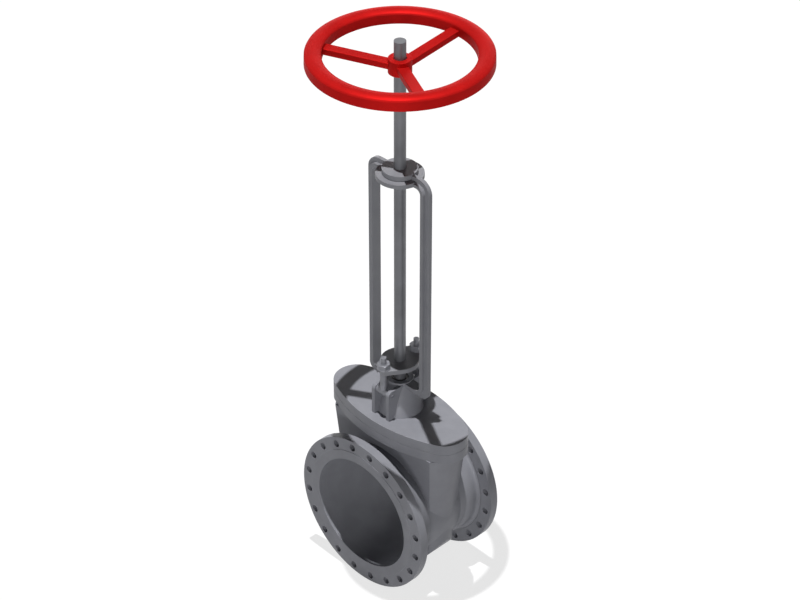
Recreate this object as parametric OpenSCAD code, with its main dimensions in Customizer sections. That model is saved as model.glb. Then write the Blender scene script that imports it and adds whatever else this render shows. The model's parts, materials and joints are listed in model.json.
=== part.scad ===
// Rising-stem flanged gate valve, nominal pipe size 500 mm.
// +Y runs along the pipe, +Z up the stem. The origin is the centre of the inlet face.

/* [Pipe ends] */
// Bore of the waterway
bore_d = 500; // [460:1:510]
// Distance from the inlet face to the outlet face
face_to_face = 457; // [440:1:520]
// Radial width of the end flanges round the bore
flange_w = 99.25; // [90:0.25:120]
// Thickness of an end flange with its raised face
flange_t = 42.9; // [36:0.1:50]
// Radial width of the raised face round the bore
raised_w = 42; // [30:1:50]
// Height of the raised face
raised_t = 1.6; // [1:0.1:3]
// Distance from the bolt circle to the edge of the flange
bolt_edge = 31.75; // [26:0.25:40]
// Diameter of a bolt hole
bolt_hole_d = 31.75; // [26:0.05:34]
// Number of bolt holes in each end flange
bolt_count = 20; // [16:4:24]

/* [Body casting] */
// Wall of the barrel between the end flanges
barrel_wall = 16; // [12:1:19]
// How far the round belly between the end flanges swells beyond the barrel
belly_rise = 15; // [8:1:20]
// Height of the low collar behind each end flange
collar_h = 9; // [4:1:11]
// Length of that collar with its round shoulder
collar_l = 62; // [50:1:68]
// Length of the collar's round shoulder
collar_shoulder_l = 31; // [18:1:34]
// Radius of the hollow between the collar and the flange
collar_fillet = 15; // [6:1:18]
// Half width of the neck where it meets the top flange
neck_half_w = 105.85; // [100:0.05:115]
// Draft of the flat sides of the neck, in degrees
neck_draft = 4.23; // [2:0.01:5]
// How far the neck's round ends stand back from the ends of the top flange
neck_inset = 34.75; // [28:0.25:44]
// Radius of those round ends under the top flange
neck_end_r = 158; // [150:1:166]
// Draft of the round ends, in degrees
neck_end_draft = 5.65; // [3:0.05:7]
// Wall of the neck around the chamber
neck_wall = 20; // [14:1:26]
// Height of the chamber's lowest edge above the pipe axis
chamber_low = 110; // [90:1:140]
// How far the foot of the neck reaches below the barrel, about the pipe axis
foot_drop = 31; // [22:1:40]

/* [Bonnet joint] */
// Half width of the oval flanges, along the pipe
oval_half_w = 154; // [148:1:164]
// Radius of the oval's ends
oval_end_r = 98; // [90:1:105]
// Radius of the oval's long sides, as a share of the one that runs smoothly into its ends
oval_side_share = 0.99; // [0.975:0.005:0.995]
// Height of the bonnet joint above the top of the end flanges
joint_rise = 46.75; // [40:0.25:60]
// Thickness of the top flange of the body
top_flange_t = 45; // [38:1:50]
// Thickness of the bonnet plate
bonnet_t = 45; // [38:1:52]
// Thickness of the gasket between them
gasket_t = 1.5; // [1:0.5:3]
// How far the gasket stands back from the edge
gasket_inset = 1; // [0.5:0.5:5]

/* [Stuffing box and gland] */
// Radius of the stuffing box at its foot
box_foot_r = 97; // [90:1:99]
// Radius of the stuffing box at its top
box_top_r = 55; // [50:1:58]
// Height of the stuffing box
box_h = 147.5; // [143:0.5:160]
// Radius of the packing chamber
packing_r = 36; // [32:1:40]
// Depth of the packing chamber
packing_depth = 110; // [80:1:120]
// How far the packing lies below the top of the box
packing_drop = 4; // [2:1:10]
// Distance from the stem to the eyebolts, along the pipe
eyebolt_y = 93; // [92:0.5:96]
// Height of the eyebolt pins above the bonnet
pin_h = 120; // [116:1:122]
// Diameter of an eyebolt pin
pin_d = 15; // [12:0.5:18]
// Length of an eyebolt pin
pin_l = 108; // [100:1:112]
// Clear distance between the two lugs that hold an eyebolt
lug_gap = 64.4; // [60:0.2:68]
// Thickness of a lug
lug_t = 16.4; // [12:0.2:18]
// Radius of the rounded corner of a lug, about the pin
lug_r = 20.3; // [18:0.1:24]
// Outside radius of the eye
eye_r = 16; // [13:0.5:18]
// Diameter of an eyebolt
eyebolt_d = 30; // [26:0.5:31]
// Height of the gland flange's top above the bonnet
gland_top_h = 234.4; // [230:0.2:240]
// Thickness of the gland flange
gland_t = 20.5; // [16:0.5:24]
// Radius of the gland flange round the stem
gland_r = 78; // [72:1:80]
// Radius of the gland flange's ears
gland_ear_r = 28; // [25:0.5:30]
// Thickness of the washers under the gland nuts
washer_t = 5; // [3:0.5:9]
// Diameter of those washers
washer_d = 55; // [50:1:56]
// Width across flats of the gland nuts
nut_af = 49; // [44:1:52]
// Height of a gland nut
nut_h = 20; // [18:1:28]
// Length of the turned-down end of an eyebolt above its nut
eyebolt_end = 28; // [10:1:34]
// Diameter of that end
eyebolt_end_d = 23; // [18:0.5:26]

/* [Yoke] */
// Distance from the stem axis to the inner face of a column
column_x = 131; // [126:1:140]
// Width of the column's flange
column_w = 46; // [40:1:50]
// Thickness of the column's flange
column_flange_t = 14.6; // [12:0.1:17]
// Depth of the column's web
column_web_h = 20.5; // [16:0.1:24]
// Thickness of the column's web
column_web_t = 16.5; // [12:0.5:20]
// Inner radius of the bends of a column
column_bend_r = 23; // [20:1:26]
// Radius of the web's outer corner at the foot of a column
column_heel_r = 36; // [28:1:50]
// Height of the lower run's upper face above the bonnet
column_low_h = 143.5; // [142.5:0.5:146]
// Height of the upper run's lower face above the bonnet
column_high_h = 1108; // [1000:1:1130]
// Radius of the yoke ring
ring_r = 96.2; // [92:0.2:100]
// Thickness of the yoke ring
ring_t = 20.4; // [19:0.1:22]
// How far the yoke ring reaches below the upper runs
ring_drop = 2.8; // [1:0.1:4]
// Radius of the yoke cap
cap_r = 72; // [68:1:76]
// Thickness of the yoke cap
cap_t = 22.6; // [21:0.1:26]
// Outside radius of the stem nut
stem_nut_r = 38; // [34:1:44]
// Length of stem nut that shows under the yoke ring
stem_nut_drop = 8; // [4:1:12]

/* [Stem and handwheel] */
// Diameter of the stem
stem_d = 47.6; // [44:0.1:50]
// Height of the stem's top above the bonnet
stem_top_h = 1701; // [1670:1:1720]
// How far the stem reaches below the bonnet joint
stem_tail = 96; // [86:1:110]
// Radius of the head at the lower end of the stem
stem_head_r = 40; // [34:1:44]
// Thickness of that head
stem_head_t = 24; // [18:1:30]
// Inner radius of the handwheel's rim
rim_in_r = 291; // [270:0.5:300]
// Outer radius of the handwheel's rim
rim_out_r = 360.7; // [350:0.1:370]
// Height of the rim's foot above the hub's foot
rim_lift = 42.3; // [30:0.1:50]
// Height of the rim's straight sides
rim_side_h = 40.9; // [36:0.1:46]
// Rise of the rim's domed top
rim_dome_h = 12; // [6:1:14]
// Wall of the rim, which is a channel open underneath
rim_wall = 9; // [7:0.5:14]
// Outside radius of the handwheel's hub
hub_r = 47.7; // [42:0.1:54]
// Length of the hub
hub_l = 63; // [56:1:72]
// Length of stem that stands above the hub
stem_stand = 72; // [40:1:90]
// Width of a spoke at the hub
spoke_hub_w = 44; // [38:1:50]
// Width of a spoke at the rim
spoke_rim_w = 45; // [38:1:54]
// Thickness of a spoke
spoke_t = 26; // [20:1:30]
// Height of a spoke's lower face above the hub's foot, at the hub
spoke_low = 17; // [12:1:20]
// Rise of a spoke from the hub to the rim
spoke_rise = 25.5; // [22:0.5:32]

/* [Clearances] */
// Gap left where one fixed piece is fitted round or against another
seat_gap = 0.3; // [0.2:0.05:0.5]
// Gap round the stem in the bonnet, the gland and the stem nut
stem_gap = 0.5; // [0.3:0.1:1]
// Gap round the pins of the eyebolts
pin_gap = 0.1; // [0.05:0.05:0.3]
// Gap between an eyebolt and the slot in the gland flange
slot_gap = 1.2; // [0.6:0.1:3]

/* [Hidden] */

$fn = 96;
spoke_count = 3;
eps = 1;
mid_y = face_to_face / 2;
stem_r = stem_d / 2;
bore_r = bore_d / 2;
flange_r = bore_r + flange_w;
raised_r = bore_r + raised_w;
bolt_circle_r = flange_r - bolt_edge;
barrel_r = bore_r + barrel_wall;
belly_r = barrel_r + belly_rise;
foot_r = barrel_r + foot_drop;
oval_half_l = flange_r;
neck_end_x = oval_half_l - neck_inset - neck_end_r;
joint_z = flange_r + joint_rise;
neck_top_z = joint_z - gasket_t / 2 - top_flange_t;
bonnet_foot_z = joint_z + gasket_t / 2;
bonnet_top_z = joint_z + bonnet_t;
box_top_z = bonnet_top_z + box_h;
pin_z = bonnet_top_z + pin_h;
gland_top_z = bonnet_top_z + gland_top_h;
gland_foot_z = gland_top_z - gland_t;
nut_foot_z = gland_top_z + washer_t;
low_run_z = bonnet_top_z + column_low_h;
high_run_z = bonnet_top_z + column_high_h;
ring_foot_z = high_run_z - ring_drop;
cap_foot_z = ring_foot_z + ring_t;
stem_top_z = bonnet_top_z + stem_top_h;
stem_end_z = joint_z - stem_tail;
hub_foot_z = stem_top_z - stem_stand - hub_l;
rim_foot_z = hub_foot_z + rim_lift;
rim_half_w = (rim_out_r - rim_in_r) / 2;
rim_dome_r = (pow(rim_half_w, 2) + pow(rim_dome_h, 2)) / (2 * rim_dome_h);
rim_dome_z = rim_side_h + rim_dome_h - rim_dome_r;
bend_x = column_x - column_bend_r;
bend_out_r = column_bend_r + column_flange_t + column_web_h;
column_color = "dimgray";
casting_color = "gray";
bright_color = "darkgray";
paint_color = "crimson";
metal_color = "silver";

// ---- shared forms ----

// Puts what is drawn about the stem axis at the middle of the pipe
module at_stem() translate([0, mid_y, 0]) children();

// Turns +Z to lie along the pipe
module along_pipe() rotate([-90, 0, 0]) children();

// Oval plan of the bonnet joint: two long arcs that meet round ends at a soft crease
module oval(inset = 0) {
    end_x = oval_half_l - oval_end_r;
    smooth_r = (pow(end_x, 2) + pow(oval_half_w, 2) - pow(oval_end_r, 2))
        / (2 * (oval_half_w - oval_end_r));
    side_r = oval_side_share * smooth_r;
    side_y = side_r - oval_half_w;
    middle_x = end_x + (oval_end_r - inset) * end_x / norm([end_x, side_y]);
    intersection() {
        translate([0, -side_y]) circle(side_r - inset);
        translate([0, side_y]) circle(side_r - inset);
        union() {
            square([2 * middle_x, 2 * oval_half_w + eps], center = true);
            translate([end_x, 0]) circle(oval_end_r - inset);
            translate([-end_x, 0]) circle(oval_end_r - inset);
        }
    }
}

// Neck of the body, drafted on its flat sides and at its rounded ends
module neck(inset, low_z, high_z) {
    rise = high_z - neck_top_z;
    drop = neck_top_z - low_z;
    top_w = neck_half_w - inset + rise * tan(neck_draft);
    low_w = neck_half_w - inset - drop * tan(neck_draft);
    top_r = neck_end_r - inset + rise * tan(neck_end_draft);
    low_r = neck_end_r - inset - drop * tan(neck_end_draft);
    intersection() {
        translate([-oval_half_l, 0, 0])
            rotate([90, 0, 90])
                linear_extrude(2 * oval_half_l)
                    polygon([[-low_w, low_z], [low_w, low_z], [top_w, high_z], [-top_w, high_z]]);
        union() {
            translate([-neck_end_x, -neck_half_w - eps, low_z])
                cube([2 * neck_end_x, 2 * (neck_half_w + eps), high_z - low_z]);
            for (side = [-1, 1]) {
                translate([side * neck_end_x, 0, low_z])
                    cylinder(high_z - low_z, low_r, top_r);
            }
        }
    }
}

// Ring about the stem axis
module ring(out_r, in_r, low_z, height) {
    translate([0, 0, low_z])
        difference() {
            cylinder(height, out_r, out_r);
            translate([0, 0, -eps])
                cylinder(height + 2 * eps, in_r, in_r);
        }
}

// Outside of the stuffing box, grown by a clearance
module box_cone(grow = 0) {
    translate([0, 0, bonnet_top_z])
        cylinder(box_h, box_foot_r + grow, box_top_r + grow);
}

// ---- body casting ----

// End flange lying on its raised face, with its bolt holes straddling the top
module end_flange() {
    pitch = 360 / bolt_count;
    difference() {
        union() {
            cylinder(raised_t, raised_r, raised_r);
            translate([0, 0, raised_t])
                cylinder(flange_t - raised_t, flange_r, flange_r);
        }
        for (i = [0 : bolt_count - 1]) {
            rotate([0, 0, (i + 0.5) * pitch + 90])
                translate([bolt_circle_r, 0, -eps])
                    cylinder(flange_t + 2 * eps, bolt_hole_d / 2, bolt_hole_d / 2);
        }
        translate([0, 0, -eps])
            cylinder(flange_t + 2 * eps, bore_r, bore_r);
    }
}

// Puts what lies on the inlet face on the outlet face
module at_outlet() translate([0, face_to_face, 0]) rotate([180, 0, 0]) children();

module inlet_flange() color(casting_color) along_pipe() end_flange();
module outlet_flange() color(casting_color) at_outlet() along_pipe() end_flange();

// Low collar that runs into the back of an end flange with a hollow
module collar() {
    collar_r = barrel_r + collar_h;
    crown_l = collar_l - collar_shoulder_l;
    shoulder_r = (pow(collar_shoulder_l, 2) + pow(collar_h, 2)) / (2 * collar_h);
    rotate_extrude() {
        square([collar_r, crown_l]);
        intersection() {
            square([collar_r, collar_l]);
            translate([collar_r - shoulder_r, crown_l]) circle(shoulder_r);
        }
        difference() {
            square([collar_r + collar_fillet, collar_fillet]);
            translate([collar_r + collar_fillet, collar_fillet])
                circle(collar_fillet);
        }
    }
}

// Half of the barrel, from the back of an end flange to the middle
module barrel_half() {
    translate([0, 0, flange_t]) {
        collar();
        cylinder(mid_y - flange_t + eps, barrel_r, barrel_r);
    }
}

// Everything below the top flange: barrel, belly and neck, bored through
module body() {
    color(casting_color)
        difference() {
            union() {
                along_pipe() barrel_half();
                at_outlet() along_pipe() barrel_half();
                at_stem() {
                    sphere(belly_r);
                    intersection() {
                        neck(0, -foot_r, neck_top_z);
                        union() {
                            translate([-foot_r * 2, -foot_r, 0])
                                cube([foot_r * 4, foot_r * 2, neck_top_z]);
                            translate([0, -foot_r, 0])
                                along_pipe() cylinder(2 * foot_r, foot_r, foot_r);
                        }
                    }
                }
            }
            at_stem() {
                translate([0, -belly_r - eps, 0])
                    along_pipe() cylinder(2 * (belly_r + eps), bore_r, bore_r);
                neck(neck_wall, chamber_low, joint_z);
            }
        }
}

// Oval flange on the neck, open over the chamber
module top_flange() {
    color(casting_color)
        at_stem()
            difference() {
                translate([0, 0, neck_top_z])
                    linear_extrude(top_flange_t) oval();
                neck(neck_wall, neck_top_z - eps, joint_z);
            }
}

// ---- bonnet and stuffing box ----

module bonnet_gasket() {
    color(column_color)
        at_stem()
            translate([0, 0, joint_z - gasket_t / 2])
                difference() {
                    linear_extrude(gasket_t) oval(gasket_inset);
                    translate([0, 0, -joint_z + gasket_t / 2])
                        neck(neck_wall, joint_z - gasket_t - eps, joint_z + gasket_t + eps);
                }
}

module bonnet() {
    color(casting_color)
        at_stem()
            difference() {
                translate([0, 0, bonnet_foot_z])
                    linear_extrude(bonnet_top_z - bonnet_foot_z) oval();
                translate([0, 0, bonnet_foot_z - eps])
                    cylinder(bonnet_t + 2 * eps, stem_r + stem_gap, stem_r + stem_gap);
            }
}

module stuffing_box() {
    color(casting_color)
        at_stem()
            difference() {
                box_cone();
                translate([0, 0, bonnet_top_z - eps])
                    cylinder(box_h + 2 * eps, stem_r + stem_gap, stem_r + stem_gap);
                translate([0, 0, box_top_z - packing_depth])
                    cylinder(packing_depth + eps, packing_r, packing_r);
            }
}

module packing() {
    color(metal_color)
        at_stem()
            ring(packing_r - seat_gap, stem_r + seat_gap, box_top_z - packing_depth,
                packing_depth - packing_drop);
}

// ---- gland ----

// One of the four lugs, named by its side along the pipe and across it
module lug(pipe_side, yoke_side) {
    color(casting_color)
        at_stem()
            difference() {
                translate([yoke_side * (lug_gap + lug_t) / 2 - lug_t / 2, 0, 0])
                    rotate([90, 0, 90])
                        linear_extrude(lug_t)
                            mirror([pipe_side < 0 ? 1 : 0, 0]) {
                                translate([0, bonnet_top_z])
                                    square([eyebolt_y, pin_h + lug_r]);
                                translate([0, bonnet_top_z])
                                    square([eyebolt_y + lug_r, pin_h]);
                                translate([eyebolt_y, pin_z]) circle(lug_r);
                            }
                box_cone(seat_gap);
                pin_bar(pipe_side, pin_d / 2 + pin_gap, lug_gap + 4 * lug_t);
            }
}

module front_left_lug() lug(-1, -1);
module front_right_lug() lug(-1, 1);
module rear_left_lug() lug(1, -1);
module rear_right_lug() lug(1, 1);

// Bar along the axis of an eyebolt pin
module pin_bar(pipe_side, radius, length) {
    translate([-length / 2, pipe_side * eyebolt_y, pin_z])
        rotate([0, 90, 0])
            cylinder(length, radius, radius);
}

module eyebolt_pin(pipe_side) {
    color(bright_color)
        at_stem() pin_bar(pipe_side, pin_d / 2, pin_l);
}

module front_eyebolt_pin() eyebolt_pin(-1);
module rear_eyebolt_pin() eyebolt_pin(1);

module eyebolt(pipe_side) {
    shank_l = nut_foot_z + nut_h - pin_z;
    color(bright_color)
        at_stem()
            difference() {
                union() {
                    pin_bar(pipe_side, eye_r, lug_gap - 2 * seat_gap);
                    translate([0, pipe_side * eyebolt_y, pin_z]) {
                        cylinder(shank_l, eyebolt_d / 2, eyebolt_d / 2);
                        cylinder(shank_l + eyebolt_end, eyebolt_end_d / 2, eyebolt_end_d / 2);
                    }
                }
                pin_bar(pipe_side, pin_d / 2 + pin_gap, lug_gap + lug_t);
            }
}

module front_eyebolt() eyebolt(-1);
module rear_eyebolt() eyebolt(1);

// Plan of the gland flange: a disc with two ears tangent to it
module gland_plan() {
    ear_cos = (gland_r - gland_ear_r) / eyebolt_y;
    ear_sin = sqrt(1 - pow(ear_cos, 2));
    root = [gland_r * ear_sin, gland_r * ear_cos];
    tip = [gland_ear_r * ear_sin, eyebolt_y + gland_ear_r * ear_cos];
    circle(gland_r);
    polygon([root, tip, [-tip.x, tip.y], [-root.x, root.y],
        -root, -tip, [tip.x, -tip.y], [root.x, -root.y]]);
    for (side = [-1, 1]) {
        translate([0, side * eyebolt_y]) circle(gland_ear_r);
    }
}

// Open slot in an ear, for an eyebolt that swings out
module gland_slot() {
    slot_r = eyebolt_d / 2 + slot_gap;
    circle(slot_r);
    translate([-slot_r, 0])
        square([2 * slot_r, 2 * gland_ear_r]);
}

module gland_flange() {
    color(casting_color)
        at_stem()
            translate([0, 0, gland_foot_z])
                linear_extrude(gland_t)
                    difference() {
                        gland_plan();
                        circle(stem_r + stem_gap);
                        translate([0, eyebolt_y]) gland_slot();
                        translate([0, -eyebolt_y]) mirror([0, 1]) gland_slot();
                    }
}

module gland_washer(pipe_side) {
    color(bright_color)
        at_stem()
            translate([0, pipe_side * eyebolt_y, 0])
                ring(washer_d / 2, eyebolt_d / 2 + seat_gap, gland_top_z, washer_t);
}

module front_washer() gland_washer(-1);
module rear_washer() gland_washer(1);

module gland_nut(pipe_side) {
    color(bright_color)
        at_stem()
            translate([0, pipe_side * eyebolt_y, nut_foot_z])
                difference() {
                    rotate([0, 0, 30])
                        cylinder(nut_h, nut_af / sqrt(3), nut_af / sqrt(3), $fn = 6);
                    translate([0, 0, -eps])
                        cylinder(nut_h + 2 * eps, eyebolt_d / 2 + seat_gap, eyebolt_d / 2 + seat_gap);
                }
}

module front_gland_nut() gland_nut(-1);
module rear_gland_nut() gland_nut(1);

// ---- yoke ----

// Flange of a column's section, with its inner face at x = 0
module tee_flange() {
    translate([0, -column_w / 2])
        square([column_flange_t, column_w]);
}

// T-section of a column, with the web outwards
module tee() {
    tee_flange();
    translate([column_flange_t, -column_web_t / 2])
        square([column_web_h, column_web_t]);
}

// Web round the foot of a column, whose outer corner is tighter than the flange's bend
module heel() {
    corner = bend_out_r - column_heel_r;
    rotate([90, 0, 0])
        translate([0, 0, -column_web_t / 2])
            linear_extrude(column_web_t)
                difference() {
                    union() {
                        translate([0, -bend_out_r]) square([corner, bend_out_r]);
                        translate([0, -corner]) square([bend_out_r, corner]);
                        translate([corner, -corner]) circle(column_heel_r);
                    }
                    circle(column_bend_r + column_flange_t - eps);
                }
}

// One column: up the side and round into the box below and the head above
module yoke_column(side) {
    low_bend_z = low_run_z + column_bend_r;
    high_bend_z = high_run_z - column_bend_r;
    color(column_color)
        at_stem()
            mirror([side < 0 ? 1 : 0, 0, 0])
                difference() {
                    union() {
                        translate([column_x, 0, low_bend_z])
                            linear_extrude(high_bend_z - low_bend_z) tee();
                        translate([bend_x, 0, low_bend_z]) {
                            heel();
                            rotate([90, 0, 0])
                                rotate_extrude(angle = -90)
                                    translate([column_bend_r, 0]) tee_flange();
                        }
                        translate([bend_x, 0, high_bend_z])
                            rotate([90, 0, 0])
                                rotate_extrude(angle = 90)
                                    translate([column_bend_r, 0]) tee();
                        translate([0, 0, low_run_z])
                            rotate([0, 90, 0])
                                linear_extrude(bend_x) tee();
                        translate([bend_x, 0, high_run_z])
                            rotate([0, -90, 0])
                                linear_extrude(bend_x) tee();
                    }
                    box_cone(seat_gap);
                    translate([0, 0, ring_foot_z - eps])
                        cylinder(ring_t + eps + seat_gap, ring_r + seat_gap, ring_r + seat_gap);
                    translate([0, 0, cap_foot_z])
                        cylinder(cap_t + bend_out_r, cap_r + seat_gap, cap_r + seat_gap);
                }
}

module left_yoke_column() yoke_column(-1);
module right_yoke_column() yoke_column(1);

module yoke_ring() {
    color(casting_color)
        at_stem() ring(ring_r, stem_nut_r + seat_gap, ring_foot_z, ring_t);
}

module yoke_cap() {
    color(casting_color)
        at_stem() ring(cap_r, stem_r + stem_gap, cap_foot_z, cap_t);
}

module stem_nut() {
    color(metal_color)
        at_stem()
            ring(stem_nut_r, stem_r + stem_gap, ring_foot_z - stem_nut_drop, ring_t + stem_nut_drop);
}

// ---- stem and handwheel ----

module stem() {
    color(metal_color)
        at_stem()
            translate([0, 0, stem_end_z]) {
                cylinder(stem_top_z - stem_end_z, stem_r, stem_r);
                cylinder(stem_head_t, stem_head_r, stem_head_r);
            }
}

module handwheel_hub() {
    color(paint_color)
        at_stem() ring(hub_r, stem_r + stem_gap, hub_foot_z, hub_l);
}

// Section of the rim: a strip under the crown of a circle
module rim_section(half_w, dome_r, below) {
    intersection() {
        translate([-half_w, -below])
            square([2 * half_w, rim_side_h + rim_dome_h + below + eps]);
        translate([0, rim_dome_z]) circle(dome_r);
    }
}

// Rim: upright sides and a domed top, open underneath
module handwheel_rim() {
    color(paint_color)
        at_stem()
            translate([0, 0, rim_foot_z])
                rotate_extrude()
                    translate([rim_in_r + rim_half_w, 0])
                        difference() {
                            rim_section(rim_half_w, rim_dome_r, 0);
                            rim_section(rim_half_w - rim_wall, rim_dome_r - rim_wall, eps);
                        }
}

// One spoke: a flat bar that widens and rises from the hub to the rim
module spoke(index) {
    low_z = hub_foot_z + spoke_low;
    color(paint_color)
        at_stem()
            rotate([0, 0, 90 + index * 360 / spoke_count])
                intersection() {
                    translate([0, rim_out_r, 0])
                        rotate([90, 0, 0])
                            linear_extrude(2 * rim_out_r)
                                polygon([[0, low_z], [hub_r, low_z],
                                    [rim_in_r, low_z + spoke_rise],
                                    [rim_out_r, low_z + spoke_rise],
                                    [rim_out_r, low_z + spoke_rise + spoke_t],
                                    [rim_in_r, low_z + spoke_rise + spoke_t],
                                    [hub_r, low_z + spoke_t], [0, low_z + spoke_t]]);
                    translate([0, 0, low_z - eps])
                        linear_extrude(spoke_rise + spoke_t + 2 * eps)
                            polygon([[0, -spoke_hub_w / 2], [hub_r, -spoke_hub_w / 2],
                                [rim_in_r, -spoke_rim_w / 2], [rim_out_r, -spoke_rim_w / 2],
                                [rim_out_r, spoke_rim_w / 2], [rim_in_r, spoke_rim_w / 2],
                                [hub_r, spoke_hub_w / 2], [0, spoke_hub_w / 2]]);
                    ring(rim_in_r - seat_gap, hub_r + seat_gap, low_z - eps,
                        spoke_rise + spoke_t + 2 * eps);
                }
}

module handwheel_spoke_1() spoke(0);
module handwheel_spoke_2() spoke(1);
module handwheel_spoke_3() spoke(2);

inlet_flange();
outlet_flange();
body();
top_flange();
bonnet_gasket();
bonnet();
stuffing_box();
packing();
front_left_lug();
front_right_lug();
rear_left_lug();
rear_right_lug();
front_eyebolt_pin();
rear_eyebolt_pin();
front_eyebolt();
rear_eyebolt();
gland_flange();
front_washer();
rear_washer();
front_gland_nut();
rear_gland_nut();
left_yoke_column();
right_yoke_column();
yoke_ring();
yoke_cap();
stem_nut();
stem();
handwheel_hub();
handwheel_rim();
handwheel_spoke_1();
handwheel_spoke_2();
handwheel_spoke_3();
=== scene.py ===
import json
import math

import bmesh
import bpy
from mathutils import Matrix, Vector


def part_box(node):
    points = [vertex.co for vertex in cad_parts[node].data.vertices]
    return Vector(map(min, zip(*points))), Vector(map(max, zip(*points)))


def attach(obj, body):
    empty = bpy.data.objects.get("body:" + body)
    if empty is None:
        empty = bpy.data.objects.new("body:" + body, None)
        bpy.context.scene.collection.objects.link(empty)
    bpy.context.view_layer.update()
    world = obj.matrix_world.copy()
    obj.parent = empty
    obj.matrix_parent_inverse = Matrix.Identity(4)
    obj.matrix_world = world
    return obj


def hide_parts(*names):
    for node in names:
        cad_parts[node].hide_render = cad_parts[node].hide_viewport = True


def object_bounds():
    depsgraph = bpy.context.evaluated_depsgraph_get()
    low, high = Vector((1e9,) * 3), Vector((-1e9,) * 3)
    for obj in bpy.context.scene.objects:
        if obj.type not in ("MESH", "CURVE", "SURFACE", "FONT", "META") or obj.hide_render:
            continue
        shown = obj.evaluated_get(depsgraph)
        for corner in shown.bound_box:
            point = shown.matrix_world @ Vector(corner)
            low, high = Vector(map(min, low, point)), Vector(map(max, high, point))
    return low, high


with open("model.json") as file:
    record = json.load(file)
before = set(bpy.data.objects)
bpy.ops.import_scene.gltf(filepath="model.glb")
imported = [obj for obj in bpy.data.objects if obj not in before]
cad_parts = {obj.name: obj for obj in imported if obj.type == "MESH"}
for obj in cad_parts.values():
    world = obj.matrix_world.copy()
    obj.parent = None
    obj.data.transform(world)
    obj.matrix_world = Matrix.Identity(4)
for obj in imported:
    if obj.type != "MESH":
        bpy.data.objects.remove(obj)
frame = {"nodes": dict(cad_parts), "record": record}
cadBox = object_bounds()
nodes = frame["nodes"]
mm = 0.001
stemY = (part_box("stem")[0].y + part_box("stem")[1].y) / 2
print("stage 1: frame loaded,", len(nodes), "nodes")


# Nodes and colours

def toLinear(hexColour):
    # sRGB hex to the linear colour that the sockets take
    parts = [int(hexColour[i:i + 2], 16) / 255 for i in (1, 3, 5)]
    linear = [c / 12.92 if c <= 0.04045 else ((c + 0.055) / 1.055) ** 2.4 for c in parts]
    return (*linear, 1.0)


def addNode(tree, kind, inputs=None, **settings):
    # in inputs a plain value fills the socket, and another node's socket is linked to it
    node = tree.nodes.new(kind)
    for name, value in settings.items():
        setattr(node, name, value)
    for key, value in (inputs or {}).items():
        if isinstance(value, bpy.types.NodeSocket):
            tree.links.new(value, node.inputs[key])
        else:
            node.inputs[key].default_value = value
    return node


def clearedTree(owner):
    # the emptied node tree of a material or a world
    owner.use_nodes = True
    owner.node_tree.nodes.clear()
    return owner.node_tree


def calculate(tree, operation, *values):
    return addNode(tree, "ShaderNodeMath", dict(enumerate(values)), operation=operation).outputs[0]


def vector(tree, x=0.0, y=0.0, z=0.0):
    return addNode(tree, "ShaderNodeCombineXYZ", {"X": x, "Y": y, "Z": z}).outputs[0]


def remap(tree, value, low, high, newLow, newHigh):
    return addNode(tree, "ShaderNodeMapRange", {
        "Value": value, "From Min": low, "From Max": high,
        "To Min": newLow, "To Max": newHigh}).outputs["Result"]


def mixColours(tree, factor, first, second):
    # on this node the colours are sockets 6 and 7, and the mixed colour is output 2
    mix = addNode(tree, "ShaderNodeMix", {"Factor": factor, 6: first, 7: second}, data_type="RGBA")
    return mix.outputs[2]


def noiseAt(tree, place, sizeMm, detail=3.0):
    # noise whose grains are about sizeMm across
    return addNode(tree, "ShaderNodeTexNoise", {
        "Vector": place, "Scale": 1.0 / (sizeMm * mm), "Detail": detail}).outputs["Fac"]


def spread(tree, noise, low=0.0, high=1.0, reach=0.20):
    # noise keeps near its middle: what lies within reach of that is drawn out to low and high
    return remap(tree, noise, 0.5 - reach, 0.5 + reach, low, high)


# Materials

edgeLook = {"samples": 6, "flatCosine": 0.995, "sharpCosine": 0.90}


def edgeMask(tree, radiusMm):
    # 0 on open faces, 1 along the edges, inner corners included
    bevel = addNode(tree, "ShaderNodeBevel", {"Radius": radiusMm * mm}, samples=edgeLook["samples"])
    geometry = addNode(tree, "ShaderNodeNewGeometry")
    facing = addNode(tree, "ShaderNodeVectorMath", {
        0: bevel.outputs["Normal"], 1: geometry.outputs["Normal"]}, operation="DOT_PRODUCT")
    mask = remap(tree, facing.outputs["Value"], edgeLook["flatCosine"],
                 edgeLook["sharpCosine"], 0.0, 1.0)
    return bevel.outputs["Normal"], mask


def newFinish(name):
    # a material with its tree, its shader and the place in the object that its patterns follow
    material = bpy.data.materials.new(name)
    tree = clearedTree(material)
    shader = addNode(tree, "ShaderNodeBsdfPrincipled")
    addNode(tree, "ShaderNodeOutputMaterial", {"Surface": shader.outputs["BSDF"]})
    place = addNode(tree, "ShaderNodeTexCoord").outputs["Object"]
    return material, tree, shader, place


def dress(tree, shader, look, colour, grain, normal=None):
    # the colour, and the grain's relief, laid over the rounded normal where there is one
    tree.links.new(colour, shader.inputs["Base Color"])
    bump = addNode(tree, "ShaderNodeBump", {
        "Height": grain, "Distance": look["reliefMm"] * mm, "Strength": look["relief"]})
    if normal:
        tree.links.new(normal, bump.inputs["Normal"])
    tree.links.new(bump.outputs["Normal"], shader.inputs["Normal"])


def roughen(tree, shader, look, grain):
    # a roughness that follows the grain
    rough = spread(tree, grain, look["roughLow"], look["roughHigh"])
    tree.links.new(rough, shader.inputs["Roughness"])


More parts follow.
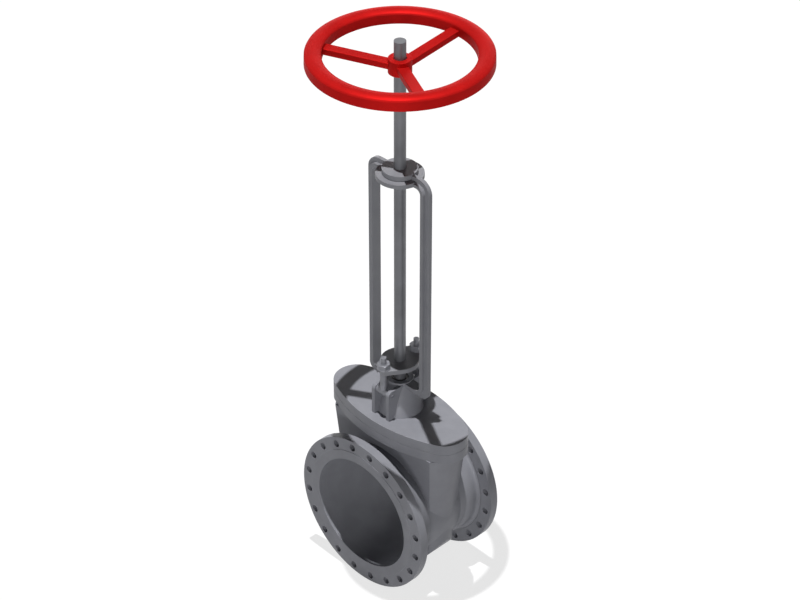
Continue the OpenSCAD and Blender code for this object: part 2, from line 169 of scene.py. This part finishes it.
castLook = {
    "base": "#97989f", "shade": "#8e8f96", "worn": "#a3a4aa",
    "mottleMm": 80.0, "grainMm": 2.6, "grainDetail": 2.0, "reliefMm": 0.10, "relief": 0.6,
    "edgeMm": 1.6, "wear": 0.35, "roughLow": 0.38, "roughHigh": 0.46, "specular": 0.15,
}
plateLook = dict(castLook, base="#939499", shade="#8c8d93", grainMm=1.4, reliefMm=0.04,
                 edgeMm=1.2, roughHigh=0.45)


def greyEnamel(name, look):
    # brushed machinery enamel: over sand-cast steel it keeps a fine pebbled skin, over rolled or
    # machined steel it lies nearly smooth; a soft sheen, a little paler where edges are rubbed
    material, tree, shader, place = newFinish(name)
    mottle = noiseAt(tree, place, look["mottleMm"])
    grain = noiseAt(tree, place, look["grainMm"], look["grainDetail"])
    roundNormal, edge = edgeMask(tree, look["edgeMm"])
    tint = mixColours(tree, spread(tree, mottle), toLinear(look["shade"]), toLinear(look["base"]))
    rubbed = calculate(tree, "MULTIPLY", edge, look["wear"])
    colour = mixColours(tree, rubbed, tint, toLinear(look["worn"]))
    dress(tree, shader, look, colour, grain, roundNormal)
    roughen(tree, shader, look, grain)
    shader.inputs["Specular IOR Level"].default_value = look["specular"]
    return material


steelLook = {
    "base": "#77787d", "dark": "#66676b", "filmMm": 160.0, "filmReach": 0.15,
    "lineMm": 1.6, "lineStretch": 0.02, "lineDetail": 1.0, "reliefMm": 0.03, "relief": 0.4,
    "edgeMm": 1.0, "roughLow": 0.38, "roughHigh": 0.50, "metallic": 0.35,
}
boltLook = dict(steelLook, base="#8a8b92", dark="#7b7c82", lineMm=0.8, filmMm=40.0)
bronzeLook = dict(steelLook, base="#8a7a55", dark="#75663f", metallic=0.8, filmMm=50.0)


def turnedMetal(name, look):
    # turned and oiled: fine rings round the upright axis, darker where the oil film is thick
    material, tree, shader, place = newFinish(name)
    stretch = look["lineStretch"]
    rings = addNode(tree, "ShaderNodeMapping", {"Vector": place, "Scale": (stretch, stretch, 1.0)})
    lines = noiseAt(tree, rings.outputs["Vector"], look["lineMm"], look["lineDetail"])
    film = noiseAt(tree, place, look["filmMm"])
    roundNormal = edgeMask(tree, look["edgeMm"])[0]
    colour = mixColours(tree, spread(tree, film, reach=look["filmReach"]),
                        toLinear(look["dark"]), toLinear(look["base"]))
    dress(tree, shader, look, colour, lines, roundNormal)
    roughen(tree, shader, look, lines)
    shader.inputs["Metallic"].default_value = look["metallic"]
    return material


redLook = {
    "base": "#bf1a19", "deep": "#b41817", "rubbed": "#c92a26", "sheen": "#ff3a2c",
    "mottleMm": 110.0, "mottleReach": 0.15, "peelMm": 6.0, "peelDetail": 1.0,
    "reliefMm": 0.05, "relief": 0.3, "edgeMm": 1.5, "wear": 0.5,
    "roughLow": 0.46, "roughHigh": 0.54, "specular": 0.05, "metallic": 0.30,
}


def redEnamel(name, look):
    # thick red enamel with a fine metal pigment, on a cast wheel: a deep even red, a broad sheen
    # that stays red, faint orange peel
    material, tree, shader, place = newFinish(name)
    mottle = noiseAt(tree, place, look["mottleMm"])
    peel = noiseAt(tree, place, look["peelMm"], look["peelDetail"])
    roundNormal, edge = edgeMask(tree, look["edgeMm"])
    tint = mixColours(tree, spread(tree, mottle, reach=look["mottleReach"]),
                      toLinear(look["deep"]), toLinear(look["base"]))
    rubbed = calculate(tree, "MULTIPLY", edge, look["wear"])
    colour = mixColours(tree, rubbed, tint, toLinear(look["rubbed"]))
    dress(tree, shader, look, colour, peel, roundNormal)
    roughen(tree, shader, look, peel)
    shader.inputs["Specular IOR Level"].default_value = look["specular"]
    shader.inputs["Specular Tint"].default_value = toLinear(look["sheen"])
    shader.inputs["Metallic"].default_value = look["metallic"]
    return material


graphiteLook = {
    "base": "#1c1c1d", "light": "#2a2a2b", "painted": castLook["base"], "paintTopMm": 420.0,
    "weaveMm": 3.0, "weaveDetail": 1.0, "reliefMm": 0.2, "relief": 0.5, "rough": 0.6,
}


def graphitePacking(name, look):
    # pressed graphite sheet and braid: near black, with a dull waxy sheen and a coarse crossed
    # weave; the brush that painted the flanges also ran over the edge of the sheet between them
    material, tree, shader, place = newFinish(name)
    weave = noiseAt(tree, place, look["weaveMm"], look["weaveDetail"])
    bare = mixColours(tree, weave, toLinear(look["base"]), toLinear(look["light"]))
    height = addNode(tree, "ShaderNodeSeparateXYZ", {"Vector": place}).outputs["Z"]
    above = calculate(tree, "GREATER_THAN", height, look["paintTopMm"] * mm)
    colour = mixColours(tree, above, toLinear(look["painted"]), bare)
    dress(tree, shader, look, colour, weave)
    shader.inputs["Roughness"].default_value = look["rough"]
    return material


castEnamel = greyEnamel("greyEnamelOnCasting", castLook)
plateEnamel = greyEnamel("greyEnamelOnRolledSteel", plateLook)
stemSteel = turnedMetal("oiledStemSteel", steelLook)
boltSteel = turnedMetal("oiledBoltSteel", boltLook)
nutBronze = turnedMetal("turnedBronze", bronzeLook)
wheelEnamel = redEnamel("redEnamel", redLook)
graphite = graphitePacking("graphitePacking", graphiteLook)
slotFinish = {
    "body_casting": castEnamel, "bonnet_casting": castEnamel, "stuffing_box": castEnamel,
    "gland": plateEnamel, "yoke": plateEnamel, "bolting": boltSteel, "stem_steel": stemSteel,
    "stem_nut": nutBronze, "soft_seal": graphite, "handwheel_red": wheelEnamel,
}
slotOf = {part["node"]: part["material_slot"] for part in frame["record"]["subparts"]}
bodyOf = {node: body for body, members in frame["record"]["behaviour"]["bodies"].items()
          for node in members}
for node, slot in slotOf.items():
    mesh = nodes[node].data
    mesh.materials.clear()
    mesh.materials.append(slotFinish[slot])
print("stage 2: materials made")


# Making pieces

def newPiece(name, mesh):
    piece = bpy.data.objects.new(name, mesh)
    bpy.context.scene.collection.objects.link(piece)
    return piece


def settle(piece):
    # turns the modifiers into plain mesh and takes them off
    evaluated = piece.evaluated_get(bpy.context.evaluated_depsgraph_get())
    mesh = bpy.data.meshes.new_from_object(evaluated)
    mesh.name = piece.name
    piece.modifiers.clear()
    piece.data = mesh


def standFor(piece, *stands):
    # the piece takes its body and finish from the CAD nodes that it stands for
    slot = slotOf[stands[0]]
    piece.data.materials.clear()
    piece.data.materials.append(slotFinish[slot])
    for polygon in piece.data.polygons:
        polygon.material_index = 0
    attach(piece, bodyOf[stands[0]])
    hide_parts(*stands)


def finishPiece(piece, *stands, smoothDegrees=35.0):
    # faces that meet at less than smoothDegrees are shaded as one surface
    piece.data.shade_smooth()
    piece.data.set_sharp_from_angle(angle=math.radians(smoothDegrees))
    even = piece.modifiers.new("evenNormals", "WEIGHTED_NORMAL")
    even.keep_sharp = True
    settle(piece)
    standFor(piece, *stands)


def bevelEdges(piece, widthMm, segments, sharpDegrees):
    # rounds the edges that bend by more than sharpDegrees
    bevel = piece.modifiers.new("roundedEdges", "BEVEL")
    bevel.width = widthMm * mm
    bevel.segments = segments
    bevel.limit_method = "ANGLE"
    bevel.angle_limit = math.radians(sharpDegrees)


def boxMm(node):
    low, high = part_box(node)
    return low / mm, high / mm


def roundedLoop(corners, steps=4):
    # a closed section in millimetres: each corner is (distance from the axis, height, rounding);
    # known fault: slerp gives unit vectors, so every arc has a radius of 1 mm, and the outline
    # lies rounding - 1 inside its true place; slerp(...) * rounding would put it right
    points = []
    for index, (across, up, rounding) in enumerate(corners):
        here = Vector((across, up))
        if not rounding:
            points.append(here)
            continue
        before = (Vector(corners[index - 1][:2]) - here).normalized()
        after = (Vector(corners[(index + 1) % len(corners)][:2]) - here).normalized()
        half = before.angle(after) / 2
        centre = here + (before + after).normalized() * rounding / math.sin(half)
        start = here + before * rounding / math.tan(half) - centre
        end = here + after * rounding / math.tan(half) - centre
        points += [centre + start.slerp(end, step / steps) for step in range(steps + 1)]
    return points


def roundStem(across, angle, up):
    # a point about the upright axis of the stem
    return (across * math.cos(angle) * mm, stemY + across * math.sin(angle) * mm, up * mm)


def roundPipe(across, angle, up):
    # a point about the axis of the pipe, with its height measured along the pipe
    return (across * math.cos(angle) * mm, up * mm, across * math.sin(angle) * mm)


def turned(name, loops, segments, place):
    # spins each closed section round an axis
    vertices, faces = [], []
    for loop in loops:
        first, count = len(vertices), len(loop)
        for turn in range(segments):
            angle = 2 * math.pi * turn / segments
            vertices += [place(point.x, angle, point.y) for point in loop]
        for turn in range(segments):
            here, there = first + turn * count, first + (turn + 1) % segments * count
            for step in range(count):
                after = (step + 1) % count
                faces.append((here + step, here + after, there + after, there + step))
    mesh = bpy.data.meshes.new(name)
    mesh.from_pydata(vertices, [], faces)
    shape = bmesh.new()
    shape.from_mesh(mesh)
    bmesh.ops.recalc_face_normals(shape, faces=shape.faces)
    shape.to_mesh(mesh)
    shape.free()
    return newPiece(name, mesh)


def newTree(name, sizes):
    # a Geometry Nodes tree with a named input for each size, lengths in metres
    tree = bpy.data.node_groups.new(name, "GeometryNodeTree")
    tree.interface.new_socket("Geometry", in_out="INPUT", socket_type="NodeSocketGeometry")
    tree.interface.new_socket("Geometry", in_out="OUTPUT", socket_type="NodeSocketGeometry")
    for label, value in sizes.items():
        kind = "NodeSocketInt" if isinstance(value, int) else "NodeSocketFloat"
        tree.interface.new_socket(label, in_out="INPUT", socket_type=kind)
    given = addNode(tree, "NodeGroupInput")
    return tree, given.outputs


def moved(tree, geometry, translation=(0.0, 0.0, 0.0), rotation=(0.0, 0.0, 0.0)):
    return addNode(tree, "GeometryNodeTransform", {
        "Geometry": geometry, "Translation": translation, "Rotation": rotation}).outputs["Geometry"]


def endTree(tree, geometry, material):
    real = addNode(tree, "GeometryNodeRealizeInstances", {"Geometry": geometry})
    finished = addNode(tree, "GeometryNodeSetMaterial", {
        "Geometry": real.outputs["Geometry"], "Material": material})
    addNode(tree, "NodeGroupOutput", {"Geometry": finished.outputs["Geometry"]})


def grow(piece, tree, sizes):
    modifier = piece.modifiers.new(tree.name, "NODES")
    modifier.node_group = tree
    for item in tree.interface.items_tree:
        if item.in_out == "INPUT" and item.name in sizes:
            modifier[item.identifier] = sizes[item.name]


# End flanges: turned blanks, with the bolt holes repeated round the pipe by Geometry Nodes

flangeSizes = {
    "boreMm": 250.0, "raisedMm": 292.0, "outerMm": 349.25, "raisedStepMm": 1.6, "thickMm": 42.9,
    "rimRoundMm": 2.5, "faceRoundMm": 0.8, "segments": 160,
    "holeBreakMm": 1.0, "holeBreakSegments": 2, "holeBreakDegrees": 60.0,
}
flangeHoles = {
    "Hole count": 20, "Circle radius": 0.3175, "Hole radius": 0.015875,
    "Drill sides": 32, "Drill length": 1.0, "First angle": math.radians(9.0), "Middle": stemY,
}


def flangeLoop(base, way):
    s = flangeSizes
    back = base + way * s["thickMm"]
    step = base + way * s["raisedStepMm"]
    corners = [
        (s["boreMm"], base, s["faceRoundMm"]), (s["raisedMm"], base, s["faceRoundMm"]),
        (s["raisedMm"], step, 0.0), (s["outerMm"], step, s["rimRoundMm"]),
        (s["outerMm"], back, s["rimRoundMm"]), (s["boreMm"], back, 0.0)]
    return roundedLoop(corners)


def holeTree(sizes):
    tree, given = newTree("flangeHoles", sizes)
    alongPipe = math.pi / 2
    drill = addNode(tree, "GeometryNodeMeshCylinder", {
        "Vertices": given["Drill sides"], "Radius": given["Hole radius"],
        "Depth": given["Drill length"]})
    laid = moved(tree, drill.outputs["Mesh"], rotation=(alongPipe, 0.0, 0.0))
    ring = addNode(tree, "GeometryNodeMeshCircle", {
        "Vertices": given["Hole count"], "Radius": given["Circle radius"]})
    stood = moved(tree, ring.outputs["Mesh"], vector(tree, y=given["Middle"]),
                  vector(tree, alongPipe, given["First angle"]))
    drills = addNode(tree, "GeometryNodeInstanceOnPoints", {"Points": stood, "Instance": laid})
    cutters = addNode(tree, "GeometryNodeRealizeInstances", {
        "Geometry": drills.outputs["Instances"]})
    drilled = addNode(tree, "GeometryNodeMeshBoolean", {
        "Mesh 1": given["Geometry"], "Mesh 2": cutters.outputs["Geometry"]},
        operation="DIFFERENCE", solver="EXACT")
    endTree(tree, drilled.outputs["Mesh"], castEnamel)
    return tree


def makeFlanges():
    s = flangeSizes
    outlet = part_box("outlet_flange")[1].y / mm
    loops = [flangeLoop(0.0, 1.0), flangeLoop(outlet, -1.0)]
    flanges = turned("endFlanges", loops, s["segments"], roundPipe)
    grow(flanges, holeTree(flangeHoles), flangeHoles)
    bevelEdges(flanges, s["holeBreakMm"], s["holeBreakSegments"], s["holeBreakDegrees"])
    settle(flanges)
    finishPiece(flanges, "inlet_flange", "outlet_flange")


makeFlanges()
print("stage 3: end flanges drilled")


# Handwheel: a cast rim and hub, and three flat spokes that rise to the rim

wheelSizes = {
    "wallMm": 9.0, "seatGapMm": 0.3, "footRoundMm": 2.0, "shoulderRoundMm": 3.0,
    "domeMm": 12.0, "domeSteps": 14, "hollowRiseShare": 0.7, "hollowDropShare": 0.35,
    "hubRoundMm": 2.5, "boreMm": 24.3, "boreRoundMm": 1.0, "segments": 180, "hubSegments": 96,
}
spokeSizes = {
    "Spoke count": 3, "Width": 0.0445, "Thickness": 0.026, "Edge rounding": 0.0022,
    "Rounding points": 5, "Root": 0.038, "Tip": 0.294, "Rise": 0.0255,
    "First angle": math.pi / 2, "Axis": stemY,
}
spokeSmoothDegrees = 40.0


def domeLine(halfWidth, rise, foot, steps):
    # the crown of the rim, from its inner to its outer edge
    crown = (halfWidth ** 2 + rise ** 2) / (2 * rise)
    reach = math.asin(halfWidth / crown)
    angles = [reach * (2 * step / steps - 1) for step in range(steps + 1)]
    return [(crown * math.sin(a), foot + rise - crown + crown * math.cos(a)) for a in angles]


def makeRim():
    # a channel open underneath: two upright walls and a domed crown, which is thinner than they are
    s = wheelSizes
    low, high = boxMm("handwheel_rim")
    outer = (high.x - low.x) / 2
    inner = (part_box("handwheel_spoke_1")[1].y - stemY) / mm + s["seatGapMm"]
    middle, half = (outer + inner) / 2, (outer - inner) / 2
    halfHollow = half - s["wallMm"]
    shoulder = high.z - s["domeMm"]
    ceiling = shoulder - s["wallMm"] * s["hollowDropShare"]
    crown = domeLine(half, s["domeMm"], shoulder, s["domeSteps"])
    hollow = domeLine(halfHollow, s["domeMm"] * s["hollowRiseShare"], ceiling, s["domeSteps"])
    crown = [(middle + x, z, 0.0) for x, z in crown]
    for end in (0, -1):
        crown[end] = crown[end][:2] + (s["shoulderRoundMm"],)
    feet = [(middle + x, low.z, s["footRoundMm"]) for x in (-half, half, halfHollow, -halfHollow)]
    corners = [feet[0], *crown, feet[1], feet[2],
               *[(middle + x, z, 0.0) for x, z in reversed(hollow)], feet[3]]
    rim = turned("wheelRim", [roundedLoop(corners)], s["segments"], roundStem)
    finishPiece(rim, "handwheel_rim")


def makeHub():
    s = wheelSizes
    low, high = boxMm("handwheel_hub")
    outer = (high.x - low.x) / 2
    corners = [(s["boreMm"], low.z, s["boreRoundMm"]), (outer, low.z, s["hubRoundMm"]),
               (outer, high.z, s["hubRoundMm"]), (s["boreMm"], high.z, s["boreRoundMm"])]
    hub = turned("wheelHub", [roundedLoop(corners)], s["hubSegments"], roundStem)
    finishPiece(hub, "handwheel_hub")


def spokeTree(sizes):
    tree, given = newTree("wheelSpokes", sizes)
    tipHeight = calculate(tree, "ADD", given["Root height"], given["Rise"])
    spine = addNode(tree, "GeometryNodeCurvePrimitiveLine", {
        "Start": vector(tree, given["Root"], z=given["Root height"]),
        "End": vector(tree, given["Tip"], z=tipHeight)})
    bar = addNode(tree, "GeometryNodeCurvePrimitiveQuadrilateral", {
        "Width": given["Width"], "Height": given["Thickness"]})
    softBar = addNode(tree, "GeometryNodeFilletCurve", {
        "Curve": bar.outputs["Curve"], "Radius": given["Edge rounding"],
        "Count": given["Rounding points"]}, mode="POLY")
    spoke = addNode(tree, "GeometryNodeCurveToMesh", {
        "Curve": spine.outputs["Curve"], "Profile Curve": softBar.outputs["Curve"],
        "Fill Caps": True})
    slots = addNode(tree, "GeometryNodeMeshLine", {
        "Count": given["Spoke count"], "Offset": (0.0, 0.0, 0.0)})
    step = calculate(tree, "DIVIDE", 2 * math.pi, given["Spoke count"])
    index = addNode(tree, "GeometryNodeInputIndex").outputs["Index"]
    turn = calculate(tree, "MULTIPLY_ADD", index, step, given["First angle"])
    spokes = addNode(tree, "GeometryNodeInstanceOnPoints", {
        "Points": slots.outputs["Mesh"], "Instance": spoke.outputs["Mesh"],
        "Rotation": vector(tree, z=turn)})
    placed = moved(tree, spokes.outputs["Instances"], vector(tree, y=given["Axis"]))
    endTree(tree, placed, wheelEnamel)
    return tree


def makeSpokes():
    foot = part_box("handwheel_spoke_1")[0].z
    sizes = dict(spokeSizes)
    sizes["Root height"] = foot + sizes["Thickness"] / 2
    spokes = newPiece("wheelSpokes", bpy.data.meshes.new("wheelSpokes"))
    grow(spokes, spokeTree(sizes), sizes)
    settle(spokes)
    finishPiece(spokes, "handwheel_spoke_1", "handwheel_spoke_2", "handwheel_spoke_3",
                smoothDegrees=spokeSmoothDegrees)


makeRim()
makeHub()
makeSpokes()
print("stage 4: handwheel made")


# Gland nuts: a chamfered hexagon, set on both eyebolts by Geometry Nodes

nutSizes = {
    "Across flats": 0.049, "Height": 0.020, "Chamfer": 0.0045, "Chamfer run": 1.75,
    "Cone sides": 64, "Bore radius": 0.0153, "Bore sides": 48, "Drill length": 0.060,
    "Nut count": 2, "Axis": stemY,
}
nutSmoothDegrees = 25.0


def hexagonNut(tree, given):
    # a hexagon centred on its own height, cut by a cone that breaks its upper corners, and bored
    cornerRadius = calculate(tree, "DIVIDE", given["Across flats"], math.sqrt(3))
    prism = addNode(tree, "GeometryNodeMeshCylinder", {
        "Vertices": 6, "Radius": cornerRadius, "Depth": given["Height"]})
    hexagon = moved(tree, prism.outputs["Mesh"], rotation=(0.0, 0.0, math.pi / 6))
    topRadius = calculate(tree, "SUBTRACT", cornerRadius, given["Chamfer"])
    footRadius = calculate(tree, "MULTIPLY_ADD", given["Height"], given["Chamfer run"], topRadius)
    cone = addNode(tree, "GeometryNodeMeshCone", {
        "Vertices": given["Cone sides"], "Radius Top": topRadius, "Radius Bottom": footRadius,
        "Depth": given["Height"]})
    coneFoot = calculate(tree, "MULTIPLY", given["Height"], -0.5)
    cap = moved(tree, cone.outputs["Mesh"], vector(tree, z=coneFoot))
    broken = addNode(tree, "GeometryNodeMeshBoolean", operation="INTERSECT", solver="EXACT")
    tree.links.new(hexagon, broken.inputs["Mesh 2"])
    tree.links.new(cap, broken.inputs["Mesh 2"])
    drill = addNode(tree, "GeometryNodeMeshCylinder", {
        "Vertices": given["Bore sides"], "Radius": given["Bore radius"],
        "Depth": given["Drill length"]})
    bored = addNode(tree, "GeometryNodeMeshBoolean", {
        "Mesh 1": broken.outputs["Mesh"], "Mesh 2": drill.outputs["Mesh"]},
        operation="DIFFERENCE", solver="EXACT")
    return bored.outputs["Mesh"]


def nutTree(sizes):
    tree, given = newTree("glandNuts", sizes)
    nut = hexagonNut(tree, given)
    middle = calculate(tree, "MULTIPLY_ADD", given["Height"], 0.5, given["Foot"])
    firstY = calculate(tree, "MULTIPLY_ADD", given["Spacing"], -0.5, given["Axis"])
    seats = addNode(tree, "GeometryNodeMeshLine", {
        "Count": given["Nut count"], "Start Location": vector(tree, y=firstY, z=middle),
        "Offset": vector(tree, y=given["Spacing"])})
    nuts = addNode(tree, "GeometryNodeInstanceOnPoints", {
        "Points": seats.outputs["Mesh"], "Instance": nut})
    endTree(tree, nuts.outputs["Instances"], boltSteel)
    return tree


def makeNuts():
    low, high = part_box("front_gland_nut")
    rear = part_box("rear_gland_nut")
    sizes = dict(nutSizes)
    sizes["Foot"] = low.z
    sizes["Spacing"] = (rear[0].y + rear[1].y) / 2 - (low.y + high.y) / 2
    nuts = newPiece("glandNuts", bpy.data.meshes.new("glandNuts"))
    grow(nuts, nutTree(sizes), sizes)
    settle(nuts)
    finishPiece(nuts, "front_gland_nut", "rear_gland_nut", smoothDegrees=nutSmoothDegrees)


makeNuts()
print("stage 5: gland nuts made")


# Turned head of the yoke, and machined and cast pieces with their edges rounded

headSizes = {
    "boreMm": {"yoke_ring": 38.3, "yoke_cap": 24.3}, "footBoreRoundMm": 0.5, "edgeMm": 1.8,
    "segments": 120,
}


def makeYokeHead():
    s = headSizes
    loops = []
    for node, bore in s["boreMm"].items():
        low, high = boxMm(node)
        outer = (high.x - low.x) / 2
        loops.append(roundedLoop([
            (bore, low.z, s["footBoreRoundMm"]), (outer, low.z, s["edgeMm"]),
            (outer, high.z, s["edgeMm"]), (bore, high.z, s["edgeMm"])]))
    head = turned("yokeHead", loops, s["segments"], roundStem)
    finishPiece(head, "yoke_ring", "yoke_cap")


softEdges = {"mergeM": 1e-6, "flatDegrees": 0.3, "sharpDegrees": 40.0, "segments": 3}
edgeWidthsMm = {
    "left_yoke_column": 1.5, "right_yoke_column": 1.5, "gland_flange": 1.5,
    "front_left_lug": 2.0, "front_right_lug": 2.0, "rear_left_lug": 2.0, "rear_right_lug": 2.0,
    "bonnet": 1.2, "top_flange": 1.2, "front_washer": 0.8, "rear_washer": 0.8,
}


def roundEdges(node, widthMm):
    # a merged copy of the CAD mesh, its sharp edges rounded as on a casting or a rolled bar
    mesh = nodes[node].data.copy()
    shape = bmesh.new()
    shape.from_mesh(mesh)
    bmesh.ops.remove_doubles(shape, verts=shape.verts, dist=softEdges["mergeM"])
    bmesh.ops.dissolve_limit(shape, angle_limit=math.radians(softEdges["flatDegrees"]),
                             verts=shape.verts, edges=shape.edges)
    shape.to_mesh(mesh)
    shape.free()
    piece = newPiece("soft" + "".join(word.capitalize() for word in node.split("_")), mesh)
    bevelEdges(piece, widthMm, softEdges["segments"], softEdges["sharpDegrees"])
    settle(piece)
    finishPiece(piece, node)


makeYokeHead()
for node, widthMm in edgeWidthsMm.items():
    roundEdges(node, widthMm)
print("stage 6: edges rounded")


# Floor, light and camera

studio = {
    "floorSize": 60.0, "floorBounce": "#a0a0a0", "floorShade": 0.28, "floorGlow": 0.76,
    "skyStrength": 0.015,
}
# a hard key from above, level fills from the front and the back, and a lift without shadows
# that opens the hollows behind the near flange
suns = {
    "overheadKey": {"direction": (0.0286, 0.0336, -1.0), "strength": 2.96, "softDegrees": 0.5},
    "frontFill": {"direction": (-0.64, 0.77, -0.02), "strength": 0.90, "softDegrees": 14.0},
    "hollowLift": {"direction": (-0.64, 0.77, -0.02), "strength": 0.40, "softDegrees": 14.0,
                   "shadows": False},
    "backFill": {"direction": (0.62, -0.78, -0.02), "strength": 0.75, "softDegrees": 40.0},
}
view = {
    "location": (5.8745, -5.6460, 6.8387), "direction": (-1.0, 1.0, -1.0),
    "lens": 115.26, "sensor": 36.0, "farEnd": 100.0,
}
white = (1.0, 1.0, 1.0, 1.0)


def turnedTowards(direction):
    # lamps and cameras look along their own -Z
    return Vector(direction).to_track_quat("-Z", "Y").to_euler()


def seenDirectly(tree):
    # 1 for what the camera, a reflection or glass shows, 0 for light that falls on the object
    light = addNode(tree, "ShaderNodeLightPath").outputs
    seen = calculate(tree, "MAXIMUM", light["Is Camera Ray"], light["Is Glossy Ray"])
    return calculate(tree, "MAXIMUM", seen, light["Is Transmission Ray"])


def makeFloor():
    half = studio["floorSize"] / 2
    level = cadBox[0][2]
    mesh = bpy.data.meshes.new("studioFloor")
    mesh.from_pydata([(-half, -half, level), (half, -half, level), (half, half, level),
                      (-half, half, level)], [], [(0, 1, 2, 3)])
    material = bpy.data.materials.new("paleFloor")
    tree = clearedTree(material)
    grey = (studio["floorShade"],) * 3 + (1.0,)
    bounce = addNode(tree, "ShaderNodeBsdfDiffuse", {"Color": toLinear(studio["floorBounce"])})
    shade = addNode(tree, "ShaderNodeBsdfDiffuse", {"Color": grey})
    glow = addNode(tree, "ShaderNodeEmission", {"Color": white, "Strength": studio["floorGlow"]})
    shown = addNode(tree, "ShaderNodeAddShader", {0: shade.outputs[0], 1: glow.outputs[0]})
    mixed = addNode(tree, "ShaderNodeMixShader", {
        0: seenDirectly(tree), 1: bounce.outputs[0], 2: shown.outputs[0]})
    addNode(tree, "ShaderNodeOutputMaterial", {"Surface": mixed.outputs[0]})
    mesh.materials.append(material)
    newPiece("studioFloor", mesh)


def makeSun(name, direction, strength, softDegrees, shadows=True):
    lamp = bpy.data.lights.new(name, "SUN")
    lamp.use_shadow = shadows
    lamp.energy = strength
    lamp.angle = math.radians(softDegrees)
    newPiece(name, lamp).rotation_euler = turnedTowards(direction)


def makeWorld():
    world = bpy.data.worlds.new("studioWorld")
    bpy.context.scene.world = world
    tree = clearedTree(world)
    strength = remap(tree, seenDirectly(tree), 0.0, 1.0, studio["skyStrength"], 1.0)
    sky = addNode(tree, "ShaderNodeBackground", {"Color": white, "Strength": strength})
    addNode(tree, "ShaderNodeOutputWorld", {"Surface": sky.outputs[0]})


def makeCamera():
    lens = bpy.data.cameras.new("studioCamera")
    lens.lens = view["lens"]
    lens.sensor_width = view["sensor"]
    lens.clip_end = view["farEnd"]
    camera = newPiece("studioCamera", lens)
    camera.location = view["location"]
    camera.rotation_euler = turnedTowards(view["direction"])
    bpy.context.scene.camera = camera


makeFloor()
for name, sun in suns.items():
    makeSun(name, **sun)
makeWorld()
makeCamera()
bpy.context.scene.view_settings.view_transform = "Standard"
print("stage 7: studio ready")
